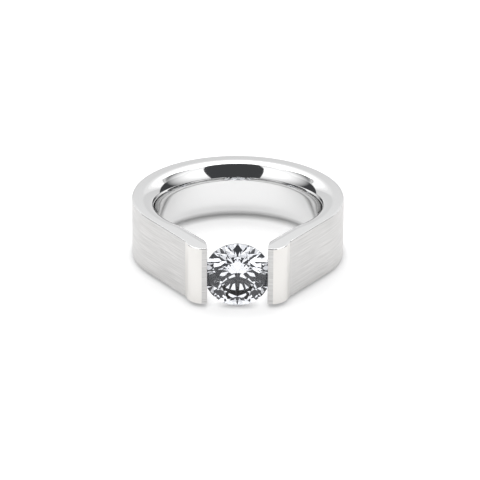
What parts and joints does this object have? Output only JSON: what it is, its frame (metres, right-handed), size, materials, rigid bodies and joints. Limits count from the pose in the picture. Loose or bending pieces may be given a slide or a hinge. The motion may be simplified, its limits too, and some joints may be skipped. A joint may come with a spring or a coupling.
{
  "type": "tension set ring",
  "caption": "Open finger ring of solid brushed metal with a rounded inside, its two thick ends gripping a round brilliant stone by the girdle.",
  "frame": {"origin": "centre of the finger hole, halfway across the band's width", "axes": "+Z along the finger hole, -Y towards the stone's table, +X to the wearer's right of the stone seen from the front"},
  "size_m": [0.0208, 0.0232, 0.0064],
  "materials": {
    "band": "brushed outside, polished inside and at both ends",
    "stone": "polished facets"
  },
  "bodies": {
    "root": {"band": "band", "stone": "stone"}
  },
  "joints": []
}
